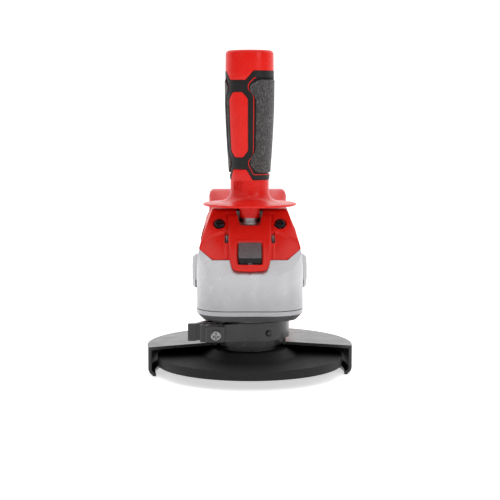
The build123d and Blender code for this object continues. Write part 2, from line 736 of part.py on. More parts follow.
def brush_plane(side):
    """The plane across the motor axis that one brush slides along."""
    return Plane(origin=(0, BRUSH_Y, MOTOR_Z), x_dir=(1, 0, 0), z_dir=(0, 0, side))


def make_motor_housing():
    """Moulded motor housing: stator bore, brush wells, rear bearing cup and screw bosses."""
    with BuildPart() as housing:
        with BuildSketch(Plane.XZ.offset(-HOUSING_FRONT)):
            with Locations((0, MOTOR_Z)):
                RectangleRounded(2 * HOUSING_HALF, 2 * HOUSING_HALF, HOUSING_CORNER_R)
        extrude(amount=HOUSING_FRONT - HOUSING_BACK)
        add(tube(MOTOR, HOUSING_BACK - 1, 18, 17).part)
        add(tube(MOTOR, HOUSING_FRONT, 18, FAN_R + 1.2).part, mode=Mode.SUBTRACT)
        add(tube(MOTOR, HOUSING_FRONT, 85, STATOR_R + FIT).part, mode=Mode.SUBTRACT)
        add(tube(MOTOR, HOUSING_FRONT, HOUSING_BACK - HOUSING_FRONT - 3, 22).part, mode=Mode.SUBTRACT)
        cup_end = REAR_BEARING_Y + 8.3
        add(tube(MOTOR, HOUSING_FRONT, cup_end - HOUSING_FRONT, 13.5 + FIT / 2).part, mode=Mode.SUBTRACT)
        add(tube(brush_plane(1), -60, 120, 7 + FIT).part, mode=Mode.SUBTRACT)
        with BuildSketch(Plane.XZ.offset(-HOUSING_FRONT)):
            with Locations(*CASE_SCREWS):
                Circle(2 + FIT)
        extrude(amount=-16, mode=Mode.SUBTRACT)
        with BuildSketch(Plane.XZ.offset(-132.0)):
            with Locations((-24.5, MOTOR_Z)):
                Rectangle(6, 4)
        extrude(amount=-60, mode=Mode.SUBTRACT)
        with BuildSketch(Plane.YZ.offset(-24)):
            with Locations((140.0, MOTOR_Z)):
                SlotOverall(19, 4)
        extrude(amount=-20, mode=Mode.SUBTRACT)
        for row in range(5):
            for side in (-1, 1):
                with BuildSketch(Plane.YZ.offset(side * 25)):
                    with Locations((57, MOTOR_Z - 12 + 6 * row)):
                        SlotOverall(11, 2.6)
                extrude(amount=side * 20, mode=Mode.SUBTRACT)
    return housing


def make_air_baffle():
    """Baffle plate that guides air from the fan past the front bearing."""
    return turned(
        MOTOR_SECTION, MOTOR_AXIS,
        (13, 48.3), (31.5, 48.3), (31.5, 51.5), (29, 51.5), (22, 50), (13, 50),
    )


def make_fan():
    """Radial fan with curved-back blades on a dished plate."""
    with BuildPart() as fan:
        add(tube(MOTOR, FAN_Y + FAN_W - 2, 2, FAN_R).part)
        add(tube(MOTOR, FAN_Y, FAN_W + 3, 8).part)
        with BuildSketch(MOTOR.offset(FAN_Y)):
            for blade in range(12):
                with Locations(Location((0, 0, 0), (0, 0, blade * 30))):
                    with Locations(Location((19.5, 0, 0), (0, 0, 24))):
                        Rectangle(19, 1.4)
        extrude(amount=FAN_W - 1)
        add(tube(MOTOR, FAN_Y - 5, 30, 5 + FIT / 2).part, mode=Mode.SUBTRACT)
    return fan


def make_armature_core():
    """Laminated core with winding slots."""
    with BuildPart() as core:
        add(tube(MOTOR, CORE_Y, CORE_L, ROTOR_R, 5 + FIT / 2).part)
        with BuildSketch(MOTOR.offset(CORE_Y)):
            with PolarLocations(ROTOR_R - 3.6, 12):
                Rectangle(8.4, 2.2)
        extrude(amount=CORE_L, mode=Mode.SUBTRACT)
    return core


def make_armature_windings():
    """Both winding heads of the armature."""
    heads = []
    for low, high, lean in ((CORE_Y - 10, CORE_Y, 1), (CORE_Y + CORE_L, CORE_Y + CORE_L + 11, -1)):
        outer = (low, high) if lean > 0 else (high, low)
        heads.append(turned(
            MOTOR_SECTION, MOTOR_AXIS,
            (5.2, outer[0]), (12, outer[0]), (16.5, outer[0] + 3 * lean), (17.5, outer[1]), (5.2, outer[1]),
        ))
    return gathered(heads)


def make_commutator():
    """Commutator with slots between its bars."""
    with BuildPart() as drum:
        add(tube(MOTOR, COMMUTATOR_Y - 2, 17, COMMUTATOR_R, 5 + FIT / 2).part)
        add(tube(MOTOR, COMMUTATOR_Y - 2, 2.4, COMMUTATOR_R + 2, 5 + FIT / 2).part)
        with BuildSketch(MOTOR.offset(COMMUTATOR_Y - 2)):
            with PolarLocations(COMMUTATOR_R + 1, 24):
                Rectangle(5, 0.6)
        extrude(amount=17, mode=Mode.SUBTRACT)
    return drum


def make_armature_shaft():
    """Armature shaft stepped for pinion, bearings, fan, core and commutator."""
    return turned(
        MOTOR_SECTION, MOTOR_AXIS,
        (0, PINION_END), (3.4, PINION_END), (4, PINION_END + 0.6), (4, BEARING_Y - 3.5), (7, BEARING_Y - 3.5),
        (7, BEARING_Y), (5, BEARING_Y), (5, 155.5), (4, 155.5), (4, 165.4), (3.5, 166), (0, 166),
    )


COIL_SPAN = 62
COIL_WINDOW = 42


def arc_block(start, length, inner_r, outer_r, middle, half_angle):
    """A block between two radii and either side of an angle about the motor axis."""
    with BuildPart() as block:
        add(tube(MOTOR, start, length, outer_r, inner_r).part)
        far = 3 * outer_r
        left, right = radians(middle - half_angle), radians(middle + half_angle)
        with BuildSketch(MOTOR.offset(start)):
            Polygon(
                (0, 0), (far * cos(left), far * sin(left)),
                (far * cos(radians(middle)), far * sin(radians(middle))),
                (far * cos(right), far * sin(right)),
                align=None,
            )
        extrude(amount=length, mode=Mode.INTERSECT)
    return block


def make_stator_core():
    """Laminated field core with two poles and slots for the field coils."""
    with BuildPart() as core:
        add(tube(MOTOR, CORE_Y, CORE_L, STATOR_R, STATOR_IN_R).part)
        for pole in (0, 180):
            for side in (-1, 1):
                slot = pole + side * (COIL_SPAN + COIL_WINDOW) / 2
                half = (COIL_SPAN - COIL_WINDOW) / 2 + 1
                add(arc_block(CORE_Y, CORE_L, 21, 28.4, slot, half).part, mode=Mode.SUBTRACT)
    return core


def make_stator_coils():
    """Two saddle coils round the field poles."""
    coils = []
    for pole in (0, 180):
        with BuildPart() as coil:
            add(arc_block(CORE_Y - 10, CORE_L + 19.5, 21.3, 28, pole, COIL_SPAN).part)
            add(arc_block(CORE_Y - 0.4, CORE_L + 0.8, 15, 32, pole, COIL_WINDOW).part, mode=Mode.SUBTRACT)
        coils.append(coil)
    return gathered(coils)


def make_brush_holder(side):
    """Round brush holder with a rectangular guide."""
    with BuildPart() as holder:
        add(tube(brush_plane(side), COMMUTATOR_R + 2.6, 17.4, 7).part)
        with BuildSketch(brush_plane(side).offset(COMMUTATOR_R)):
            Rectangle(8.2, 6.2)
        extrude(amount=30, mode=Mode.SUBTRACT)
    return holder


def make_brush(side):
    """Carbon brush whose end rides on the commutator."""
    with BuildPart() as brush:
        with BuildSketch(brush_plane(side).offset(COMMUTATOR_R + 0.3)):
            Rectangle(8, 6)
        extrude(amount=11)
    return brush


def make_brush_cap(side):
    """Slotted screw cap over a brush well, flush with the housing."""
    with BuildPart() as cap:
        add(tube(brush_plane(side), COMMUTATOR_R + 20, 2.6 + HOUSING_HALF - 33.2, 7).part)
        chamfer(cap.faces().sort_by(Axis.Z)[-1 if side > 0 else 0].edges(), 0.5)
        with BuildSketch(brush_plane(side).offset(COMMUTATOR_R + 25)):
            Rectangle(9, 1.6)
        extrude(amount=-3, mode=Mode.SUBTRACT)
    return cap


# ---------------------------------------------------------------- rear handle

TAIL_SECTIONS = [
    (HOUSING_BACK + GAP, HOUSING_HALF, MOTOR_Z - HOUSING_HALF, MOTOR_Z + HOUSING_HALF, 20.0),
    (WAIST_Y, 28.0, 36.5, 95.0, 14.0),
    (TAIL_Y - 24, TAIL_HALF, TAIL_LOW, TAIL_TOP, 5.0),
    (TAIL_Y, TAIL_HALF, TAIL_LOW, TAIL_TOP, 4.0),
]


def tail_volume(inset):
    """The rear handle's outer volume drawn in by inset all round."""
    with BuildPart() as volume:
        for here, there in zip(TAIL_SECTIONS, TAIL_SECTIONS[1:]):
            for y, half, low, high, corner in (here, there):
                at_end = inset if y == TAIL_Y else 0
                with BuildSketch(Plane.XZ.offset(at_end - y)):
                    with Locations((0, (low + high) / 2)):
                        RectangleRounded(2 * (half - inset), high - low - 2 * inset, corner - inset * 0.8)
            loft()
    return volume


TAIL_SCREWS = [(163.0, 88.0), (163.0, 44.0), (245.0, 92.0), (245.0, 44.0)]
BOSS_REACH = [30.8, 30.8, 30.5, 30.5]


def make_rear_handle(side):
    """One half of the rear handle with its screw bosses and its half of the inlet seat."""
    with BuildPart() as half:
        add(tail_volume(0).part)
        add(tail_volume(WALL).part, mode=Mode.SUBTRACT)
        for here, reach in zip(TAIL_SCREWS, BOSS_REACH):
            with BuildSketch(Plane.YZ):
                with Locations(here):
                    Circle(4.2)
            extrude(amount=reach, both=True)
        with BuildSketch(Plane.YZ):
            with Locations(*TAIL_SCREWS):
                Circle(1.75)
        extrude(amount=25 if side > 0 else 60, both=True, mode=Mode.SUBTRACT)
        with BuildSketch(Plane.YZ.offset(-22)):
            with Locations(*TAIL_SCREWS):
                Circle(3.6)
        extrude(amount=-20, mode=Mode.SUBTRACT)
        add(tube(MOTOR, TAIL_Y - 6, 4, 12.4).part)
        add(tube(MOTOR, TAIL_Y - 20, 30, 8.2).part, mode=Mode.SUBTRACT)
        with BuildSketch(Plane.YZ):
            Rectangle(800, 800)
        extrude(amount=-side * 80, mode=Mode.SUBTRACT)
        for row in range(6):
            with BuildSketch(Plane.YZ.offset(side * 20)):
                with Locations((TAIL_Y - 33 + 5 * row, TAIL_TOP - 14)):
                    SlotOverall(12, 2.4, rotation=90)
            extrude(amount=side * 20, mode=Mode.SUBTRACT)
    return half


def make_side_grips():
    """Soft pads let into both sides of the rear handle."""
    with BuildPart() as pads:
        add(tail_volume(-0.9).part)
        add(tail_volume(0).part, mode=Mode.SUBTRACT)
        with BuildSketch(Plane.YZ.offset(-80)) as window:
            Polygon(
                (169, 52), (174, 48), (214, 48), (222, 56), (222, 76), (214, 84), (176, 84), (169, 78),
                align=None,
            )
            fillet(window.vertices(), 3)
        extrude(amount=160, mode=Mode.INTERSECT)
    return pads


def make_switch_knob():
    """Ribbed slide knob with its foot through the housing slot."""
    with BuildPart() as knob:
        with BuildSketch(Plane.YZ.offset(-HOUSING_HALF - GAP)):
            with Locations((140, MOTOR_Z)):
                RectangleRounded(24, 14, 4)
        extrude(amount=-2.4)
        fillet(knob.faces().sort_by(Axis.X)[0].edges(), 0.9)
        for row in range(5):
            with BuildSketch(Plane.YZ.offset(-HOUSING_HALF - 3.0)):
                with Locations((132 + 4 * row, MOTOR_Z)):
                    SlotOverall(10, 1.6, rotation=90)
            extrude(amount=2, mode=Mode.SUBTRACT)
        with BuildSketch(Plane.YZ.offset(-HOUSING_HALF - 1.0)):
            with Locations((143, MOTOR_Z)):
                Rectangle(7, 3.2)
        extrude(amount=HOUSING_HALF + 1 - 26)
    return knob


def block_between(low, high):
    """A plain block between two opposite corners."""
    with BuildPart() as block:
        with BuildSketch(Plane.XY.offset(low[2])):
            with Locations(((low[0] + high[0]) / 2, (low[1] + high[1]) / 2)):
                Rectangle(high[0] - low[0], high[1] - low[1])
        extrude(amount=high[2] - low[2])
    return block


def make_switch_module():
    """Switch body with its four terminal blades."""
    with BuildPart() as module:
        add(block_between((-12, 176, 55), (12, 206, 80)).part)
        chamfer(module.edges().filter_by(Axis.Y), 1.5)
        with BuildSketch(Plane.XZ.offset(-206)):
            with GridLocations(12, 10, 2, 2):
                with Locations((0, 67.5)):
                    Rectangle(6.3, 0.8)
        extrude(amount=-7)
    return module


def make_terminal_block():
    """Two-way terminal block."""
    with BuildPart() as terminals:
        add(block_between((-10, 216, 44), (10, 230, 55)).part)
        with BuildSketch(Plane.XY.offset(55)):
            with Locations((-5, 223), (5, 223)):
                Circle(2)
        extrude(amount=-4, mode=Mode.SUBTRACT)
        with BuildSketch(Plane.XZ.offset(-216)):
            with Locations((-5, 48), (5, 48)):
                Circle(1.8)
        extrude(amount=-14, mode=Mode.SUBTRACT)
    return terminals


def make_cord_bush():
    """Rubber inlet bush gripped in the rear wall."""
    return turned(
        MOTOR_SECTION, MOTOR_AXIS,
        (INLET_R, TAIL_Y - 9), (10.5, TAIL_Y - 9), (10.5, TAIL_Y - 6.2), (8.1, TAIL_Y - 6.2),
        (8.1, TAIL_Y + 0.2), (9.6, TAIL_Y + 0.2), (9.6, TAIL_Y + 2),
        (6.6, TAIL_Y - 9 + INLET_L), (INLET_R, TAIL_Y - 9 + INLET_L),
    )


# ---------------------------------------------------------------- auxiliary handle


def sleeve_radius(height):
    """Outer radius of the handle's tapered sleeve at a height above the seat."""
    share = (height - SLEEVE_FROM) / (SLEEVE_TO - SLEEVE_FROM)
    return HANDLE_BASE_R + share * (HANDLE_END_R - HANDLE_BASE_R)


def sleeve_shell(inner_drop, outer_rise, low=SLEEVE_FROM, high=SLEEVE_TO):
    """A tapered tube following the sleeve's surface."""
    return turned(
        HANDLE_SECTION, HANDLE_AXIS,
        (sleeve_radius(low) - inner_drop, low), (sleeve_radius(low) + outer_rise, low),
        (sleeve_radius(high) + outer_rise, high), (sleeve_radius(high) - inner_drop, high),
    )


def panel_prism(grow):
    """Prism through both sets of red panels, an octagon between two tongues, wider by grow."""
    half, low, high, cut = PANEL_HALF + grow, PANEL_FROM - grow, PANEL_TO + grow, PANEL_CUT
    tip, root = TONGUE_HALF + grow, TONGUE_ROOT + grow
    with BuildPart() as prism:
        with BuildSketch(Plane(origin=HANDLE.origin, x_dir=HANDLE.y_dir, z_dir=HANDLE.x_dir)):
            Polygon(
                (-half + cut, low), (half - cut, low), (half, low + cut), (half, high - cut),
                (half - cut, high), (-half + cut, high), (-half, high - cut), (-half, low + cut),
                align=None,
            )
            for near, far in ((BRIDGE_LOW + grow, SLEEVE_FROM - 1), (BRIDGE_HIGH - grow, SLEEVE_TO + 1)):
                Polygon((-tip, near), (tip, near), (root, far), (-root, far), align=None)
        extrude(amount=25, both=True)
    return prism


def grip_prism(grow):
    """Prism through both grained grip pads, which widen beside the panels' ends, wider by grow."""
    ends = [(GRIP_TURN - 4, 0), (GRIP_LOBE_TURN, 4), (GRIP_LOBE_TURN, 8), (GRIP_TURN, 13)]
    outline = [(turn, GRIP_FROM - grow + inward) for turn, inward in ends]
    outline += [(turn, GRIP_TO + grow - inward) for turn, inward in reversed(ends)]
    right = [(sleeve_radius(z) * sin(radians(turn)) + grow, z) for turn, z in outline]
    with BuildPart() as prism:
        with BuildSketch(Plane(origin=HANDLE.origin, x_dir=-HANDLE.x_dir, z_dir=HANDLE.y_dir)):
            Polygon(*right, *[(-x, z) for x, z in reversed(right)], align=None)
        extrude(amount=25, both=True)
    return prism


HANDLE_BORE_H = 25.2


def make_handle_core():
    """Hard core: neck, hand flange, base, hidden sleeve core, raised panels and end cap."""
    flange = HANDLE_FLANGE
    low, high = SLEEVE_FROM, SLEEVE_TO
    with BuildPart() as core:
        with BuildSketch(HANDLE_SECTION) as section:
            Polygon(
                (HANDLE_THREAD_R - 0.02, WASHER_T + 0.05), (HANDLE_NECK_R, WASHER_T + 0.05),
                (HANDLE_NECK_R, flange), (14, flange), (HANDLE_FLANGE_R - 1.2, flange + 0.8),
                (HANDLE_FLANGE_R, flange + 1.7),
                (HANDLE_FLANGE_R - 1.2, flange + 2.6), (21, flange + 3.8), (16.4, flange + 6.2),
                (HANDLE_BASE_R + 0.5, flange + 10), (HANDLE_BASE_R, flange + 13), (HANDLE_BASE_R, low),
                (sleeve_radius(low) - SLEEVE_DEPTH, low), (sleeve_radius(high) - SLEEVE_DEPTH, high),
                (HANDLE_END_R, high), (HANDLE_END_R, HANDLE_L - 2.8), (HANDLE_END_R - 0.8, HANDLE_L - 1),
                (HANDLE_END_R - 2.8, HANDLE_L - 0.3), (0, HANDLE_L), (0, HANDLE_BORE_H),
                (HANDLE_THREAD_R - 0.02, HANDLE_BORE_H),
                align=None,
            )
        revolve(axis=HANDLE_AXIS)
        with BuildPart(mode=Mode.PRIVATE) as panels:
            add(sleeve_shell(SLEEVE_DEPTH + 0.3, -0.3).part)
            add(panel_prism(0).part, mode=Mode.INTERSECT)
        add(panels.part)
    return core


def make_handle_overmould():
    """Rubber sleeve with windows for the panels and the grip pads."""
    with BuildPart() as sleeve:
        add(sleeve_shell(SLEEVE_DEPTH, 0).part)
        add(panel_prism(0.05).part, mode=Mode.SUBTRACT)
        add(grip_prism(0).part, mode=Mode.SUBTRACT)
    return sleeve


def make_handle_grips():
    """Two grained grip pads standing a little proud of the sleeve."""
    with BuildPart() as pads:
        add(sleeve_shell(SLEEVE_DEPTH, GRIP_RISE).part)
        add(grip_prism(-0.05).part, mode=Mode.INTERSECT)
    return pads


def cover_screw(x, y):
    """One gear case cover screw, its head in the pocket under the cover."""
    return screw(Plane(origin=(x, y, COVER_LOW + 3.5), x_dir=(1, 0, 0), z_dir=(0, 0, -1)), 3.8, 2.8, 2, 12)


def case_screw(x, z):
    """One long screw from the gear case into the motor housing."""
    return screw(Plane(origin=(x, CASE_SCREW_SEAT_Y, z), x_dir=(1, 0, 0), z_dir=(0, -1, 0)), 3.4, 2.6, 2, 29)


def plate_screw(x, z):
    """One screw of the bearing plate."""
    seat = Plane(origin=(x, BEARING_Y + BEARING_W + PLATE_T, MOTOR_Z + z), x_dir=(1, 0, 0), z_dir=(0, 1, 0))
    return screw(seat, 2.7, 2, 1.5, 7)


def tail_screw(y, z):
    """One rear handle screw, driven from the left."""
    return screw(Plane(origin=(-22, y, z), x_dir=(0, 1, 0), z_dir=(-1, 0, 0)), 3.2, 2.4, 1.7, 36)


def make_bearing_plate():
    """Plate that keeps the pinion bearing in its seat."""
    with BuildPart() as plate:
        add(tube(MOTOR, BEARING_Y + BEARING_W + 0.02, PLATE_T - 0.02, 24.6, 8).part)
        with BuildSketch(MOTOR.offset(BEARING_Y + BEARING_W)):
            with Locations(*[(x, -z) for x, z in PLATE_SCREWS]):
                Circle(1.5 + FIT)
        extrude(amount=4, mode=Mode.SUBTRACT)
    return plate


def band_rivet(turn):
    """A domed rivet head on the clamp band."""
    way = (cos(radians(turn)), sin(radians(turn)), 0)
    seat = Plane(origin=(way[0] * BAND_R, way[1] * BAND_R, CLAMP_Z), x_dir=(0, 0, 1), z_dir=way)
    with BuildPart() as rivet:
        with BuildSketch(seat):
            Circle(2.1)
        extrude(amount=1.3)
        fillet(rivet.faces().sort_by_distance(Vector(0, 0, CLAMP_Z))[-1].edges(), 0.9)
    return rivet


UPRIGHT_LOCK = Plane(origin=(0, -LOCK_PITCH_R, 0), x_dir=(1, 0, 0), z_dir=(0, 0, 1))
CAPACITOR = Plane(origin=(12, 212, 80), x_dir=(1, 0, 0), z_dir=(0, 1, 0))
CLAMP_SEAT = Plane(origin=(CLAMP_X, CLAMP_FACE_Y, CLAMP_Z), x_dir=(1, 0, 0), z_dir=(0, -1, 0))

# Spindle and what turns with it
write(make_disc(), "grinding_disc")
write(make_clamp_nut(), "clamp_nut")
write(make_inner_flange(), "inner_flange")
write(make_spindle(), "spindle")
write(make_crown_gear(), "crown_gear")
write(turned(Plane.XZ, Axis.Z, (7.45, 57.45), (10.5, 57.45), (10.5, 58.6), (7.45, 58.6)), "gear_circlip")

# Gear head
write(make_gear_case(), "gear_case")
write(make_gear_case_cover(), "gear_case_cover")
write(make_case_gasket(), "case_gasket")
write(make_head_cover(), "head_cover")
write(gathered([screw(seat, 3.45, 2.2, 2, 9) for seat in HOOD_SCREWS]), "head_cover_screws")
write(gathered([cover_screw(x, y) for x, y in COVER_SCREWS]), "cover_screws")
write(gathered([case_screw(x, z) for x, z in CASE_SCREWS]), "gear_case_screws")
write(bearing(SPINDLE, 19, 11, 17.5, 7.5), "spindle_bearing")
write(tube(SPINDLE, CIRCLIP_LOW + 0.1, 1.2, 18.5, 15.6), "bearing_circlip")
write(tube(SPINDLE, UPPER_BUSH_LOW, 10, UPPER_BUSH_R, 5 + FIT), "spindle_bush")
write(bearing(MOTOR, BEARING_Y, BEARING_W, BEARING_R, 5 + FIT), "pinion_bearing")
write(make_bearing_plate(), "bearing_plate")
write(gathered([plate_screw(x, z) for x, z in PLATE_SCREWS]), "bearing_plate_screws")

# Spindle lock
write(make_lock_button(), "lock_button")
write(tube(UPRIGHT_LOCK, LOCK_PIN_LOW, LOCK_PIN_TOP - LOCK_PIN_LOW, LOCK_PIN_R), "lock_pin")
write(coil_spring(0, -LOCK_PITCH_R, LOCK_FLOOR + 0.1, SPRING_TOP - 0.1, 3.05, 0.35, 3.5), "lock_spring")

# Guard
write(make_guard_shell(), "guard_shell")
write(make_guard_band(), "guard_band")
write(make_clamp_block(), "clamp_block")
write(screw(CLAMP_SEAT, 3.5, 2.4, 2.5, 14.3), "clamp_screw")
write(gathered([band_rivet(turn) for turn in (-62.6, 60, 150)]), "band_rivets")

# Motor
write(make_pinion(), "pinion")
write(make_armature_shaft(), "armature_shaft")
write(make_fan(), "fan")
write(make_armature_core(), "armature_core")
write(make_armature_windings(), "armature_windings")
write(make_commutator(), "commutator")
write(make_motor_housing(), "motor_housing")
write(make_air_baffle(), "air_baffle")
write(make_stator_core(), "stator_core")
write(make_stator_coils(), "stator_coils")
write(gathered([make_brush_holder(side) for side in (-1, 1)]), "brush_holders")
write(gathered([make_brush(side) for side in (-1, 1)]), "carbon_brushes")
write(gathered([
    coil_spring(0, BRUSH_Y, low, low + 8, 2.3, 0.3, 5)
    for low in (MOTOR_Z - COMMUTATOR_R - 19.6, MOTOR_Z + COMMUTATOR_R + 11.6)
]), "brush_springs")
write(gathered([make_brush_cap(side) for side in (-1, 1)]), "brush_caps")
write(bearing(MOTOR, REAR_BEARING_Y, 7, 11, 4 + FIT), "rear_bearing")
write(tube(MOTOR, REAR_BEARING_Y - 0.4, 8, 13.5, 11 + FIT / 2), "bearing_sleeve")

# Rear handle
write(make_rear_handle(-1), "rear_handle_left")
write(make_rear_handle(1), "rear_handle_right")
write(gathered([tail_screw(y, z) for y, z in TAIL_SCREWS]), "rear_handle_screws")
write(make_side_grips(), "side_grips")
write(make_switch_knob(), "switch_knob")
write(block_between((-26, 139.5, MOTOR_Z - 1.6), (-23, 172, MOTOR_Z + 1.6)), "switch_rod")
write(make_switch_module(), "switch_module")
write(tube(CAPACITOR, 0, 22, 7), "capacitor")
write(make_terminal_block(), "terminal_block")
write(make_cord_bush(), "cord_bush")

# Auxiliary handle
write(tube(HANDLE, 0.02, WASHER_T - 0.02, 6.75, 4.3), "handle_washer")
write(tube(HANDLE, 25 - 39.5, 39.5, 4), "handle_stud")
write(make_handle_core(), "handle_core")
write(make_handle_overmould(), "handle_overmould")
write(make_handle_grips(), "handle_grips")
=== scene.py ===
import json
from math import cos, pi, radians, sin

import bmesh
import bpy
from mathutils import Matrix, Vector


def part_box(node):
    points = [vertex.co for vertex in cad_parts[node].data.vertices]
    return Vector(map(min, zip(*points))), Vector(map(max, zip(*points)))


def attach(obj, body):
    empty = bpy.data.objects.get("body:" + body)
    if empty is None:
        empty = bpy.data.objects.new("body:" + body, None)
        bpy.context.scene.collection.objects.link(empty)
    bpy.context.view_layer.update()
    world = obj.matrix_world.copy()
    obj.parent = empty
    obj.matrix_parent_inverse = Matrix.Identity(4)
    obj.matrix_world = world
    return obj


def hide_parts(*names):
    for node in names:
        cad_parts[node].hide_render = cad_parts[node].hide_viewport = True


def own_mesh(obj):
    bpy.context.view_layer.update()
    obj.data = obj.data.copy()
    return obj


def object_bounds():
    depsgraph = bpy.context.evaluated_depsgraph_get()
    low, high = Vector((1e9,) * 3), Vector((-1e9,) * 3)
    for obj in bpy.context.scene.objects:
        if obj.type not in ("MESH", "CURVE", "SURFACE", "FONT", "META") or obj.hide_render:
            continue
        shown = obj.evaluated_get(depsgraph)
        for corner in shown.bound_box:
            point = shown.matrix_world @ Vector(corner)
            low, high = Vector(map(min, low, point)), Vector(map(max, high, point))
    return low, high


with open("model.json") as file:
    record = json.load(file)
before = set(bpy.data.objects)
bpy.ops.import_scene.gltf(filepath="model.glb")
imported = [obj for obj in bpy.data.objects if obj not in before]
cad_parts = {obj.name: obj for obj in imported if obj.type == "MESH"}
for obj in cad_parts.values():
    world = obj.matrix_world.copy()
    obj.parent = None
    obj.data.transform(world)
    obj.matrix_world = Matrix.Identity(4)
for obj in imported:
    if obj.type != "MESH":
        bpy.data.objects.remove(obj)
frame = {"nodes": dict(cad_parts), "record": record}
CAD_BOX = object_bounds()
MM = 0.001

# ---------------------------------------------------------------- node materials


class Paint:
    """A node material in the making: every pattern is laid out in the part's own millimetres."""

    def __init__(self, name, colour, roughness, metallic=0.0, specular=0.5, coat=0.0, coat_roughness=0.1):
        self.material = bpy.data.materials.new(name)
        self.material.use_nodes = True
        self.tree = self.material.node_tree
        self.shader = self.tree.nodes["Principled BSDF"]
        self.shader.inputs["Base Color"].default_value = (*colour, 1)
        self.shader.inputs["Roughness"].default_value = roughness
        self.shader.inputs["Metallic"].default_value = metallic
        self.shader.inputs["Specular IOR Level"].default_value = specular
        self.shader.inputs["Coat Weight"].default_value = coat
        self.shader.inputs["Coat Roughness"].default_value = coat_roughness
        self.colour = colour
        self.normal = None
        mapping = self.node("ShaderNodeMapping")
        mapping.inputs["Scale"].default_value = (1000, 1000, 1000)
        self.link(self.node("ShaderNodeTexCoord").outputs["Object"], mapping.inputs["Vector"])
        self.place = mapping.outputs["Vector"]

    def node(self, kind, **settings):
        made = self.tree.nodes.new(kind)
        for key, value in settings.items():
            setattr(made, key, value)
        return made

    def link(self, source, target):
        self.tree.links.new(source, target)

    def stretched(self, scale):
        """The part's coordinates stretched by three factors, for brushed or ribbed patterns."""
        mapping = self.node("ShaderNodeMapping")
        mapping.inputs["Scale"].default_value = scale
        self.link(self.place, mapping.inputs["Vector"])
        return mapping.outputs["Vector"]

    def noise(self, size, detail=3.0, place=None, distortion=0.0):
        """Cloudy noise whose blobs are about size millimetres across."""
        made = self.node("ShaderNodeTexNoise")
        made.inputs["Scale"].default_value = 1 / size
        made.inputs["Detail"].default_value = detail
        made.inputs["Distortion"].default_value = distortion
        self.link(place or self.place, made.inputs["Vector"])
        return made.outputs["Fac"]

    def cells(self, size, feature="F1", place=None, randomness=1.0):
        """Voronoi distance with cells about size millimetres across."""
        made = self.node("ShaderNodeTexVoronoi", feature=feature)
        made.inputs["Scale"].default_value = 1 / size
        made.inputs["Randomness"].default_value = randomness
        self.link(place or self.place, made.inputs["Vector"])
        return made.outputs["Distance"]

    def ramp(self, source, low, high, start=0.0, end=1.0):
        """The source between low and high, stretched to start and end."""
        made = self.node("ShaderNodeMapRange", clamp=True)
        for key, value in (("From Min", low), ("From Max", high), ("To Min", start), ("To Max", end)):
            made.inputs[key].default_value = value
        self.link(source, made.inputs["Value"])
        return made.outputs["Result"]

    def blend_colour(self, factor, colour):
        """Move the base colour towards another by a factor."""
        mix = self.node("ShaderNodeMix", data_type="RGBA")
        base = self.shader.inputs["Base Color"]
        if base.is_linked:
            self.link(base.links[0].from_socket, mix.inputs["A"])
        else:
            mix.inputs["A"].default_value = base.default_value
        mix.inputs["B"].default_value = (*colour, 1)
        self.link(factor, mix.inputs["Factor"])
        self.link(mix.outputs["Result"], base)

    def vary_roughness(self, source, low, high):
        """Roughness following a source from low to high."""
        self.link(self.ramp(source, 0.3, 0.7, low, high), self.shader.inputs["Roughness"])

    def bump(self, height, depth, strength=1.0):
        """Surface relief of a depth in millimetres."""
        made = self.node("ShaderNodeBump")
        made.inputs["Strength"].default_value = strength
        made.inputs["Distance"].default_value = depth * MM
        self.link(height, made.inputs["Height"])
        if self.normal:
            self.link(self.normal, made.inputs["Normal"])
        self.normal = made.outputs["Normal"]
        self.link(self.normal, self.shader.inputs["Normal"])

    def dust(self, colour, low=0.55, high=0.8, share=0.25, size=14):
        """Faint handling marks and dust in broad patches."""
        patches = self.noise(size, 5)
        self.blend_colour(self.ramp(patches, low, high, 0, share), colour)


def moulded(name, colour, roughness=0.3, grain=0.32, depth=0.015):
    """Injection-moulded plastic with a fine spark-eroded grain."""
    paint = Paint(name, colour, roughness, specular=0.2)
    paint.blend_colour(paint.ramp(paint.noise(30, 3), 0.35, 0.7, 0, 0.22), [c * 0.72 for c in colour])
    paint.dust((0.75, 0.3, 0.2), 0.58, 0.85, 0.03)
    paint.vary_roughness(paint.noise(9, 5), roughness - 0.04, roughness + 0.09)
    paint.bump(paint.noise(grain, 3), depth, 0.5)
    return paint.material


def cast_silver(name="cast_silver", dark_below=None):
    """Sprayed silver paint over a fine die-cast skin, with painted shade darkening its lower half, and near
    black under a given height.
    """
    paint = Paint(name, (0.42, 0.42, 0.435), 0.3, metallic=0.75, specular=0.5)
    paint.blend_colour(paint.ramp(paint.cells(0.22), 0.25, 0.75, 0, 0.22), (0.7, 0.7, 0.72))
    paint.blend_colour(paint.ramp(paint.noise(22, 4), 0.4, 0.72, 0, 0.25), (0.30, 0.30, 0.315))
    height = paint.node("ShaderNodeSeparateXYZ")
    paint.link(paint.place, height.inputs["Vector"])
    # Painted shade: the paint darkens from 58 mm down to 42 mm in height, for the darker lower half.
    paint.blend_colour(paint.ramp(height.outputs["Z"], 58, 42, 0, 0.45), (0.20, 0.20, 0.21))
    # Below the given height the paint turns near black.
    if dark_below:
        darkened_below = paint.ramp(height.outputs["Z"], dark_below + 0.4, dark_below)
        paint.blend_colour(darkened_below, (0.035, 0.034, 0.036))
    paint.vary_roughness(paint.noise(6, 5), 0.26, 0.36)
    paint.bump(paint.noise(1.1, 4), 0.03, 0.35)
    paint.bump(paint.noise(0.25, 2), 0.015, 0.4)
    return paint.material


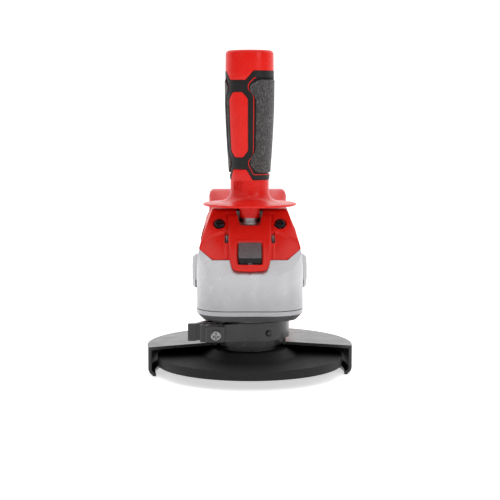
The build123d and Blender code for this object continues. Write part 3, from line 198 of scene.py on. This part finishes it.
def black_gloss():
    """Gloss black enamel on pressed steel, with orange peel and worn spots."""
    paint = Paint("black_gloss", (0.007, 0.0065, 0.007), 0.24, specular=0.5)
    paint.blend_colour(paint.ramp(paint.noise(24, 4), 0.45, 0.75, 0, 0.5), (0.012, 0.011, 0.012))
    paint.blend_colour(paint.ramp(paint.noise(0.9, 3), 0.70, 0.76, 0, 0.3), (0.05, 0.046, 0.046))
    paint.vary_roughness(paint.noise(12, 3), 0.22, 0.3)
    paint.bump(paint.noise(2.2, 1), 0.012, 0.4)
    return paint.material


def steel(name, colour, roughness, wear=0.3, turned=False):
    """Machined or blackened steel with tool marks and handling stains."""
    paint = Paint(name, colour, roughness, metallic=1.0)
    paint.blend_colour(paint.ramp(paint.noise(4, 6), 0.45, 0.72, 0, wear), [c * 0.55 for c in colour])
    paint.vary_roughness(paint.noise(1.8, 4), roughness - 0.05, roughness + 0.12)
    if turned:
        paint.bump(paint.noise(0.5, 1, paint.stretched((0.02, 0.02, 1))), 0.02, 0.4)
    else:
        paint.bump(paint.noise(0.5, 3), 0.015, 0.4)
    return paint.material


def abrasive():
    """Resin-bonded grit: dark grains and glints."""
    paint = Paint("abrasive", (0.010, 0.010, 0.011), 0.6, specular=0.22)
    grains = paint.cells(0.75)
    fine = paint.noise(0.4, 4)
    paint.blend_colour(paint.ramp(grains, 0.0, 0.28, 0.5, 0), (0.03, 0.029, 0.029))
    paint.blend_colour(paint.ramp(fine, 0.62, 0.72, 0, 0.6), (0.06, 0.058, 0.056))
    paint.vary_roughness(fine, 0.45, 0.8)
    paint.bump(paint.ramp(grains, 0.0, 0.6, 1, 0), 0.22, 0.8)
    paint.bump(fine, 0.08, 0.7)
    return paint.material


def rubber(name, colour, roughness=0.6, grain=0.5, depth=0.03):
    """Moulded rubber with a fine matt skin."""
    paint = Paint(name, colour, roughness, specular=0.25)
    paint.blend_colour(paint.ramp(paint.noise(7, 5), 0.4, 0.75, 0, 0.4), [c * 1.7 + 0.002 for c in colour])
    paint.vary_roughness(paint.noise(3, 4), roughness - 0.08, roughness + 0.12)
    paint.bump(paint.noise(grain, 3), depth, 0.6)
    return paint.material


def leather_rubber():
    """Soft rubber moulded with a leather grain: creased cells, pores and a worn sheen, with painted
    highlights on the grain and painted shade along the creases.
    """
    paint = Paint("leather_rubber", (0.030, 0.027, 0.027), 0.42, specular=0.45)
    long = paint.stretched((1, 1, 0.62))
    creases = paint.cells(1.7, "DISTANCE_TO_EDGE", paint.stretched((1, 1, 0.6)), 1.0)
    wide = paint.ramp(creases, 0.0, 0.2)
    grain = paint.noise(1.1, 5, long, 0.8)
    # Painted highlights: the grain's raised spots are lightened towards grey.
    paint.blend_colour(paint.ramp(grain, 0.5, 0.68, 0, 0.9), (0.135, 0.122, 0.120))
    # Painted shade: the crease lines are darkened towards black.
    paint.blend_colour(paint.ramp(wide, 0.5, 0.0, 0, 0.8), (0.010, 0.009, 0.009))
    paint.vary_roughness(grain, 0.5, 0.34)
    paint.bump(wide, 0.3, 1.0)
    paint.bump(grain, 0.9, 0.9)
    return paint.material


def thumb_rubber():
    """Grey stippled thumb face, with the button's lower front painted near black as shade."""
    paint = Paint("button_grey", (0.115, 0.108, 0.112), 0.5, specular=0.3)
    paint.blend_colour(paint.ramp(paint.noise(2.2, 4), 0.4, 0.7, 0, 0.6), (0.075, 0.068, 0.072))
    height = paint.node("ShaderNodeSeparateXYZ")
    paint.link(paint.place, height.inputs["Vector"])
    # Painted shade: below 74.2 mm the button's front face is painted near black.
    paint.blend_colour(paint.ramp(height.outputs["Z"], 74.6, 74.2), (0.004, 0.004, 0.004))
    paint.vary_roughness(paint.noise(1.2, 4), 0.42, 0.62)
    paint.bump(paint.noise(0.55, 3), 0.1, 0.6)
    return paint.material


def laminated(name, colour):
    """Stacked electrical sheet seen on edge."""
    paint = Paint(name, colour, 0.42, metallic=0.9)
    layers = paint.node("ShaderNodeTexWave", bands_direction="Y", wave_profile="SAW")
    layers.inputs["Scale"].default_value = 0.62
    paint.link(paint.place, layers.inputs["Vector"])
    paint.blend_colour(paint.ramp(layers.outputs["Fac"], 0, 1, 0, 0.5), [c * 0.5 for c in colour])
    paint.vary_roughness(paint.noise(2, 3), 0.35, 0.55)
    paint.bump(layers.outputs["Fac"], 0.06, 0.7)
    return paint.material


def wound_wire(name, colour):
    """Varnished copper wire laid side by side."""
    paint = Paint(name, colour, 0.3, metallic=0.6, coat=0.6)
    strands = paint.node("ShaderNodeTexWave", bands_direction="DIAGONAL")
    strands.inputs["Scale"].default_value = 0.5
    strands.inputs["Distortion"].default_value = 1.5
    paint.link(paint.place, strands.inputs["Vector"])
    paint.blend_colour(paint.ramp(strands.outputs["Fac"], 0, 1, 0, 0.6), [c * 0.35 for c in colour])
    paint.vary_roughness(paint.noise(2, 3), 0.25, 0.4)
    paint.bump(strands.outputs["Fac"], 0.2, 0.8)
    return paint.material


RED = (0.66, 0.016, 0.010)

PAINTS = {
    "cast_silver": cast_silver(),
    "hood_red": moulded("hood_red", RED),
    "housing_red": moulded("housing_red", (0.60, 0.010, 0.008), 0.4),
    "handle_red": moulded("handle_red", (0.68, 0.012, 0.008), 0.26, 0.5, 0.01),
    "black_rubber": rubber("black_rubber", (0.006, 0.0055, 0.0055), 0.45),
    "grained_rubber": leather_rubber(),
    "black_plastic": moulded("black_plastic", (0.018, 0.018, 0.019), 0.45, 0.4, 0.03),
    "button_grey": thumb_rubber(),
    "black_steel": black_gloss(),
    "dark_steel": steel("dark_steel", (0.045, 0.045, 0.048), 0.3),
    "bright_steel": steel("bright_steel", (0.55, 0.55, 0.56), 0.26, turned=True),
    "zinc_steel": steel("zinc_steel", (0.30, 0.29, 0.295), 0.36),
    "abrasive": abrasive(),
    "laminations": laminated("laminations", (0.26, 0.26, 0.28)),
    "copper_coil": wound_wire("copper_coil", (0.55, 0.2, 0.08)),
    "commutator_copper": steel("commutator_copper", (0.75, 0.36, 0.2), 0.25, turned=True),
    "carbon": rubber("carbon", (0.03, 0.03, 0.032), 0.7, 0.3, 0.02),
    "brass": steel("brass", (0.72, 0.52, 0.2), 0.3),
    "gasket_paper": rubber("gasket_paper", (0.05, 0.046, 0.042), 0.85, 0.3, 0.05),
    "white_plastic": moulded("white_plastic", (0.68, 0.68, 0.65), 0.4),
}

slots = {entry["node"]: entry["material_slot"] for entry in frame["record"]["subparts"]}
for name, thing in frame["nodes"].items():
    thing.data.materials.clear()
    thing.data.materials.append(PAINTS[slots[name]])
frame["nodes"]["gear_case_cover"].data.materials[0] = cast_silver("cover_silver", 18.6)

# ---------------------------------------------------------------- shapes


def rounded(points, radius, steps=4):
    """A closed outline with every corner turned into a short arc."""
    made = []
    for index, here in enumerate(points):
        before, after = points[index - 1], points[(index + 1) % len(points)]
        corner = Vector(here)
        back, ahead = Vector(before) - corner, Vector(after) - corner
        reach = min(radius, back.length * 0.45, ahead.length * 0.45)
        start, end = corner + back.normalized() * reach, corner + ahead.normalized() * reach
        for step in range(steps + 1):
            share = step / steps
            made.append(tuple(start * (1 - share) ** 2 + corner * 2 * share * (1 - share) + end * share**2))
    return made


def drawn_in(points, amount):
    """A closed anticlockwise outline moved inwards by an amount."""
    made = []
    for index, here in enumerate(points):
        before, after = Vector(points[index - 1]), Vector(points[(index + 1) % len(points)])
        corner = Vector(here)
        first, second = (corner - before).normalized(), (after - corner).normalized()
        inward = Vector((-first.y - second.y, first.x + second.x))
        made.append(tuple(corner + inward.normalized() * amount / max(0.3, inward.length / 2)))
    return made


def slab(loops, low, high, bevel):
    """A bmesh plate between two heights from closed outlines, with its upper and lower edges rounded."""
    curve = bpy.data.curves.new("outline", "CURVE")
    curve.dimensions = "2D"
    curve.fill_mode = "BOTH"
    curve.extrude = (high - low) / 2 - bevel
    curve.bevel_depth = bevel
    curve.bevel_resolution = 2
    curve.offset = -bevel
    for loop in loops:
        spline = curve.splines.new("POLY")
        spline.points.add(len(loop) - 1)
        for point, (x, y) in zip(spline.points, loop):
            point.co = (x, y, 0, 1)
        spline.use_cyclic_u = True
    holder = bpy.data.objects.new("outline", curve)
    bpy.context.scene.collection.objects.link(holder)
    plate = bmesh.new()
    evaluated = holder.evaluated_get(bpy.context.evaluated_depsgraph_get())
    plate.from_mesh(evaluated.to_mesh())
    evaluated.to_mesh_clear()
    bpy.data.objects.remove(holder)
    bpy.data.curves.remove(curve)
    bmesh.ops.remove_doubles(plate, verts=plate.verts, dist=0.002)
    bmesh.ops.translate(plate, verts=plate.verts, vec=(0, 0, (low + high) / 2))
    return plate


def sliced(plate, axis, step):
    """Cut a bmesh by evenly spaced planes so that it can bend."""
    spots = [v.co[axis] for v in plate.verts]
    across = Vector([float(i == axis) for i in range(3)])
    place = min(spots) + step
    while place < max(spots):
        geometry = plate.verts[:] + plate.edges[:] + plate.faces[:]
        bmesh.ops.bisect_plane(plate, geom=geometry, dist=0.0005, plane_co=across * place, plane_no=across)
        place += step


def lathe(profile, segments=96):
    """A bmesh of revolution about Z from (radius, height) points."""
    made = bmesh.new()
    rings = []
    for radius, height in profile:
        if radius < 0.01:
            rings.append([made.verts.new((0, 0, height))])
            continue
        turns = [2 * pi * step / segments for step in range(segments)]
        rings.append([made.verts.new((radius * cos(t), radius * sin(t), height)) for t in turns])
    for low, high in zip(rings, rings[1:]):
        for step in range(segments):
            corners = [low[step % len(low)], low[(step + 1) % len(low)]]
            corners += [high[(step + 1) % len(high)], high[step % len(high)]]
            corners = list(dict.fromkeys(corners))
            if len(corners) > 2:
                made.faces.new(corners)
    bmesh.ops.recalc_face_normals(made, faces=made.faces)
    return made


def placed(name, meshes, at, slot, body, stands_for, sharp=32):
    """One object from several bmeshes in millimetres, finished, slotted and riding on its body."""
    joined = bmesh.new()
    for made in meshes:
        held = bpy.data.meshes.new("held")
        made.to_mesh(held)
        made.free()
        joined.from_mesh(held)
        bpy.data.meshes.remove(held)
    for face in joined.faces:
        face.smooth = True
    for edge in joined.edges:
        if len(edge.link_faces) == 2 and edge.calc_face_angle(0) > radians(sharp):
            edge.smooth = False
    bmesh.ops.scale(joined, verts=joined.verts, vec=(MM, MM, MM))
    data = bpy.data.meshes.new(name)
    joined.to_mesh(data)
    joined.free()
    data.materials.append(PAINTS[slot])
    thing = bpy.data.objects.new(name, data)
    thing.location = at
    bpy.context.scene.collection.objects.link(thing)
    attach(thing, body)
    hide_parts(*stands_for)
    return thing


# ---------------------------------------------------------------- auxiliary handle

CORE_LOW, CORE_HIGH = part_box("handle_core")
HANDLE_AT = Vector(((CORE_LOW.x + CORE_HIGH.x) / 2, (CORE_LOW.y + CORE_HIGH.y) / 2, CORE_HIGH.z))
PANEL_TURN = radians(-90 - 31.5)
# The radius, in millimetres, at which the sleeve's outlines are drawn flat.
UNROLL = 15.2
HANDLE_FLANGE_DROP = 104.8
FOOT_DROP = 112.15
STUD_R = 4.03
NECK_R = 6.85
BASE_R = 12.95
TOP_R = 16.1
TOP_EDGE = 2.6
SINK = 1.15
# Heights below the handle's top and the sleeve's radius there, in millimetres.
SLEEVE = [
    (-120, BASE_R), (-90, BASE_R), (-82, 13.45), (-67, 14.5),
    (-52, 15.35), (-38, 15.95), (-14, 16.2), (0, TOP_R),
]


def handle_radius(height):
    """Radius of the handle's waisted sleeve at a height below its top."""
    for (low, first), (high, second) in zip(SLEEVE, SLEEVE[1:]):
        if height <= high:
            return first + (second - first) * (height - low) / (high - low)
    return SLEEVE[-1][1]


def wrapped(plate, turn):
    """Roll a flat plate of unrolled millimetres round the handle, its width centred on a turn."""
    for vertex in plate.verts:
        across, height, lift = vertex.co
        angle = turn + across / UNROLL
        radius = handle_radius(height) + lift
        vertex.co = (radius * cos(angle), radius * sin(angle), height)
    return plate


def arc_points(pairs):
    """Outline points from (degrees, height) pairs."""
    return [(radians(turn) * UNROLL, height) for turn, height in pairs]


def mirrored(pairs, middle=0):
    """Pairs on the right-hand side and the same on the left, in anticlockwise order."""
    return pairs + [(2 * middle - turn, height) for turn, height in reversed(pairs)]


PANEL = mirrored([(13, -71.3), (27, -66.8), (27, -32.5), (13, -28.0)])
FRAME = mirrored([(22, -79.1), (40, -86.3), (100, -86.3), (100, -14.1), (40, -14.1), (22, -20.3)])
OPENING = mirrored(
    [
        (139, -83.3), (154, -76.3), (154, -73.8), (141, -68.8),
        (141, -30.8), (154, -26.3), (154, -22.8), (139, -18.2),
    ],
    90,
)
GRIP = mirrored(
    [
        (126, -81.6), (147, -76.9), (148, -72.5), (134, -66.5),
        (134, -32.5), (149, -27.5), (149, -23.8), (128, -19.9),
    ],
    90,
)
CAP_TONGUE = mirrored([(21.5, -20.0), (41, -13.6)])
BASE_TONGUE = mirrored([(41, -86.8), (21.5, -79.4)])


def bend_ready(plate):
    """Cut a plate finely enough to be wrapped."""
    sliced(plate, 0, 1.1)
    sliced(plate, 1, 4.5)
    return plate


def core_profile():
    """(radius, height) points of the red core: foot, flange, flare, sleeve seat and rounded top."""
    flange = -HANDLE_FLANGE_DROP
    profile = [(STUD_R, -FOOT_DROP), (NECK_R, -FOOT_DROP), (NECK_R, flange)]
    rise = [
        (14, -0.1), (30.2, 0.75), (31.25, 1.05), (31.6, 1.7), (31.25, 2.35), (30.2, 2.65), (24, 3.2),
        (19.0, 3.9), (16.2, 4.9), (14.5, 6.3), (13.5, 8.0), (13.05, 10.0), (BASE_R, 12),
    ]
    profile += [(radius, flange + above) for radius, above in rise]
    profile += [(BASE_R, -86.6)]
    profile += [(handle_radius(height) - SINK, height) for height in range(-86, -14, 4)]
    profile += [(handle_radius(-13.9) - SINK, -13.9), (16.2, -13.9), (16.15, -8)]
    for step in range(9):
        turn = step * pi / 16
        profile.append((TOP_R - TOP_EDGE * (1 - cos(turn)), -2.9 + TOP_EDGE * sin(turn)))
    return profile + [(9, -0.1), (0, 0)]


def frame_plate(line):
    """The rubber frame for one half of the handle, with its openings, cut off at the quarter turns."""
    far_side = rounded([(x - pi * UNROLL, z) for x, z in arc_points(OPENING)], 1.4)
    loops = [rounded(arc_points(FRAME), 0.8), rounded(arc_points(PANEL), 1.2), line, far_side]
    plate = slab(loops, -1.2, 0.12, 0.22)
    edge = pi / 2 * UNROLL
    for side in (-1, 1):
        geometry = plate.verts[:] + plate.edges[:] + plate.faces[:]
        bmesh.ops.bisect_plane(
            plate, geom=geometry, plane_co=(side * edge, 0, 0), plane_no=(side, 0, 0), clear_outer=True,
        )
    return plate


def make_handle():
    """Core with panels and ribs, rubber frames, and leather-grained pads."""
    reds = [lathe(core_profile(), 128)]
    blacks = []
    pads = []
    for turn in (PANEL_TURN, PANEL_TURN + pi):
        panel = slab([rounded(arc_points(PANEL), 1.2)], -1.3, -0.05, 0.3)
        reds.append(wrapped(bend_ready(panel), turn))
        for tongue in (CAP_TONGUE, BASE_TONGUE):
            reds.append(wrapped(bend_ready(slab([arc_points(tongue)], -1.4, 0.0, 0.12)), turn))
        line_outer = rounded(arc_points(OPENING), 1.4)
        line = slab([line_outer, drawn_in(line_outer, 0.8)], -1.3, -0.12, 0.15)
        blacks.append(wrapped(bend_ready(slab([arc_points(OPENING)], -1.3, -0.7, 0.05)), turn))
        reds.append(wrapped(bend_ready(line), turn))
        blacks.append(wrapped(bend_ready(frame_plate(line_outer)), turn))
        pads.append(wrapped(bend_ready(slab([rounded(arc_points(GRIP), 2.0)], -1.2, 0.62, 0.55)), turn))
        for rib in range(6):
            middle = -22 + rib * 6.2
            outline = mirrored([(middle + 1.7, -93.7), (middle + 1.7, -87.6)], middle)
            reds.append(wrapped(slab([arc_points(outline)], -0.5, 0.55, 0.2), turn))
        ledge = slab([arc_points(mirrored([(29, -97.0), (29, -93.6)]))], -0.5, 0.55, 0.25)
        reds.append(wrapped(bend_ready(ledge), turn))
    placed("handle_body", reds, HANDLE_AT, "handle_red", "side_handle", ["handle_core"])
    placed("handle_frames", blacks, HANDLE_AT, "black_rubber", "side_handle", ["handle_overmould"])
    placed("handle_pads", pads, HANDLE_AT, "grained_rubber", "side_handle", ["handle_grips"])


make_handle()

# ---------------------------------------------------------------- hood, lock spring and softened edges

BAND_EDGE = 15.2
GROOVE_X = 14.6
CREASE_TOP = 90.0
BUTTON_Z = 77.0
HOOD_CELL = 0.42
# The way into the hood's sloping face.
INTO_FACE = Vector((0, 0.72, -0.69))


def soften(node, cell, rounds):
    """Round the edges of a cast or moulded CAD piece as its tool would leave them."""
    thing = frame["nodes"][node]
    remesh = thing.modifiers.new("even", "REMESH")
    remesh.mode = "VOXEL"
    remesh.voxel_size = cell * MM
    remesh.use_smooth_shade = True
    smooth = thing.modifiers.new("round", "SMOOTH")
    smooth.factor = 0.5
    smooth.iterations = rounds


def ease(node, width, angle=30):
    """A small rounded edge on a CAD piece."""
    bevel = frame["nodes"][node].modifiers.new("edge", "BEVEL")
    bevel.width = width * MM
    bevel.segments = 2
    bevel.limit_method = "ANGLE"
    bevel.angle_limit = radians(angle)


soften("lock_button", 0.25, 5)


def eased(value):
    """A smooth step from nought to one."""
    held = max(0.0, min(1.0, value))
    return held * held * (3 - 2 * held)


def hood_relief(x, z):
    """How far a point on the hood's face is pushed in, in millimetres; the rim stands out."""
    side = abs(x)
    crease = CREASE_TOP - 0.42 * max(0.0, side - 19.5)
    below = eased((crease - z) / 0.9) * eased((side - BAND_EDGE) / 1.0)
    slant = 1.5 * below * (1 - 0.5 * eased((crease - z) / 16))
    groove = 0.9 * eased(1 - abs(side - GROOVE_X - (z - CREASE_TOP) * 0.03) / 1.3) * eased((z - 70) / 4)
    around = max(side - 8.2, abs(z - BUTTON_Z) - 6.4)
    rim = -0.45 * eased(1 - abs(around - 0.9) / 0.8)
    return slant + groove + rim


def make_hood():
    """The moulded hood: the CAD shell with softened edges, creased cheeks, grooves and a rim."""
    thing = frame["nodes"]["head_cover"]
    copy = bpy.data.objects.new("hood_form", thing.data.copy())
    bpy.context.scene.collection.objects.link(copy)
    remesh = copy.modifiers.new("even", "REMESH")
    remesh.mode = "VOXEL"
    remesh.voxel_size = HOOD_CELL * MM
    smooth = copy.modifiers.new("round", "SMOOTH")
    smooth.factor = 0.5
    smooth.iterations = 5
    form = bmesh.new()
    evaluated = copy.evaluated_get(bpy.context.evaluated_depsgraph_get())
    form.from_mesh(evaluated.to_mesh())
    evaluated.to_mesh_clear()
    bpy.data.objects.remove(copy)
    bmesh.ops.scale(form, verts=form.verts, vec=(1000, 1000, 1000))
    form.normal_update()
    for vertex in form.verts:
        x, y, z = vertex.co
        facing = eased((-vertex.normal.y - 0.25) / 0.3)
        if y < 3 and facing:
            vertex.co += INTO_FACE * hood_relief(x, z) * facing
    for _ in range(3):
        bmesh.ops.smooth_vert(
            form, verts=form.verts, factor=0.5, use_axis_x=True, use_axis_y=True, use_axis_z=True,
        )
    placed("hood", [form], (0, 0, 0), "hood_red", "gear_head", ["head_cover"], 180)


def make_lock_spring():
    """The lock spring as its own mesh, riding on the spindle lock."""
    thing = frame["nodes"]["lock_spring"]
    spring = bpy.data.objects.new("spring_coil", thing.data.copy())
    spring.matrix_world = thing.matrix_world
    bpy.context.scene.collection.objects.link(spring)
    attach(spring, "spindle_lock")
    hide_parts("lock_spring")
    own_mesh(spring)


make_hood()
make_lock_spring()
for node, width in (
    ("gear_case", 0.7), ("gear_case_cover", 1.2), ("guard_shell", 0.35), ("guard_band", 0.3),
    ("clamp_block", 0.25), ("motor_housing", 0.6), ("grinding_disc", 0.3), ("rear_handle_left", 0.5),
    ("rear_handle_right", 0.5), ("side_grips", 0.35), ("inner_flange", 0.2),
):
    ease(node, width)

# ---------------------------------------------------------------- stage

TARGET = Vector((0.0002, 0.0, 0.0765))
VIEW_TURN = radians(-0.45)
VIEW_TILT = radians(6.1)
VIEW_RANGE = 0.900
LENS = 96.1


def make_camera():
    """The camera looks along +Y from a little above the gear head."""
    data = bpy.data.cameras.new("camera")
    data.lens = LENS
    data.clip_end = 20
    camera = bpy.data.objects.new("camera", data)
    back = Vector((sin(VIEW_TURN) * cos(VIEW_TILT), -cos(VIEW_TURN) * cos(VIEW_TILT), sin(VIEW_TILT)))
    camera.location = TARGET + back * VIEW_RANGE
    camera.rotation_euler = (-back).to_track_quat("-Z", "Y").to_euler()
    bpy.context.scene.collection.objects.link(camera)
    bpy.context.scene.camera = camera


def make_light(name, place, size, power, colour=(1, 1, 1)):
    """A soft rectangular light aimed at the gear head."""
    data = bpy.data.lights.new(name, "AREA")
    data.shape = "RECTANGLE"
    data.size, data.size_y = size
    data.energy = power
    data.color = colour
    lamp = bpy.data.objects.new(name, data)
    lamp.location = place
    lamp.rotation_euler = (TARGET - lamp.location).to_track_quat("-Z", "Y").to_euler()
    bpy.context.scene.collection.objects.link(lamp)


def make_floor():
    """Plain pale floor under the lowest point."""
    low = CAD_BOX[0].z
    data = bpy.data.meshes.new("floor")
    half = 6
    corners = [(-half, -half, low), (half, -half, low), (half, half, low), (-half, half, low)]
    data.from_pydata(corners, [], [(0, 1, 2, 3)])
    floor = bpy.data.objects.new("floor", data)
    bpy.context.scene.collection.objects.link(floor)
    paint = Paint("floor_paint", (0.86, 0.86, 0.86), 0.7, specular=0.1)
    paint.shader.inputs["Emission Color"].default_value = (1, 1, 1, 1)
    paint.shader.inputs["Emission Strength"].default_value = 0.6
    paint.blend_colour(paint.ramp(paint.noise(60, 3), 0.3, 0.7, 0, 0.04), (0.8, 0.8, 0.8))
    data.materials.append(paint.material)


def make_world():
    """Studio surroundings: a white wall behind the tool, a softer half around the camera."""
    world = bpy.data.worlds.new("studio")
    world.use_nodes = True
    tree = world.node_tree
    background = tree.nodes["Background"]
    direction = tree.nodes.new("ShaderNodeSeparateXYZ")
    tree.links.new(tree.nodes.new("ShaderNodeTexCoord").outputs["Generated"], direction.inputs["Vector"])
    total = None
    for axis, low, high, start, end in (("Y", -0.2, 0.5, 0.10, 1.25), ("Z", 0.1, 0.9, 0.0, 0.25)):
        part = tree.nodes.new("ShaderNodeMapRange")
        part.interpolation_type = "SMOOTHSTEP"
        for key, value in (("From Min", low), ("From Max", high), ("To Min", start), ("To Max", end)):
            part.inputs[key].default_value = value
        tree.links.new(direction.outputs[axis], part.inputs["Value"])
        if total:
            add = tree.nodes.new("ShaderNodeMath")
            tree.links.new(total, add.inputs[0])
            tree.links.new(part.outputs["Result"], add.inputs[1])
            total = add.outputs["Value"]
        else:
            total = part.outputs["Result"]
    tree.links.new(total, background.inputs["Strength"])
    background.inputs["Color"].default_value = (1, 1, 1, 1)
    bpy.context.scene.world = world


make_camera()
make_floor()
make_world()
make_light("key", (1.0, -1.0, 0.75), (0.35, 0.9), 5.5)
make_light("fill", (-1.0, -1.1, 0.9), (0.8, 0.6), 2.5)
make_light("front", (0.1, -1.0, 1.4), (1.2, 0.5), 4.0)
make_light("top", (0.0, 0.3, 1.5), (1.6, 1.2), 7)
bpy.context.scene.view_settings.view_transform = "Standard"
